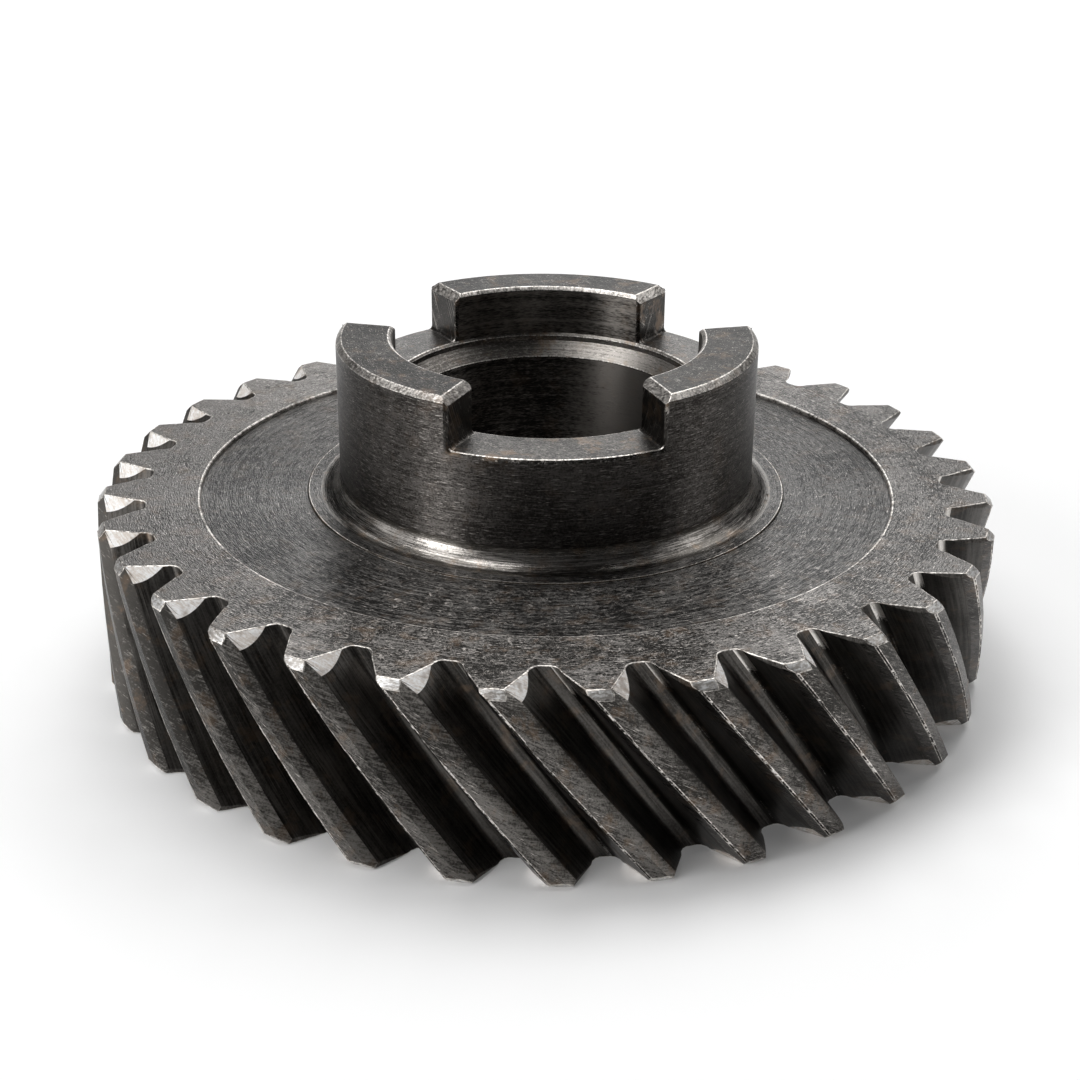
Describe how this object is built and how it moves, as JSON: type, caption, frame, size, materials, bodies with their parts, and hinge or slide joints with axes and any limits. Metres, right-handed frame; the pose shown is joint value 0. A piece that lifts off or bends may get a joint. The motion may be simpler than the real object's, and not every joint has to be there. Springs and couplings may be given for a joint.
{
  "type": "helical gear",
  "caption": "Left-hand helical gear with a shallow recessed web, a raised hub, a plain bore and dog lugs standing on the hub's end.",
  "frame": {"origin": "centre of the bore on the rear face of the rim", "axes": "+Z along the bore axis towards the dog lugs, and the widest gap between two lugs faces -Y"},
  "size_m": [0.105, 0.105, 0.0403],
  "materials": {
    "steel": "dark used machined steel with bright worn edges"
  },
  "bodies": {
    "root": {"gear": "steel"}
  },
  "joints": []
}
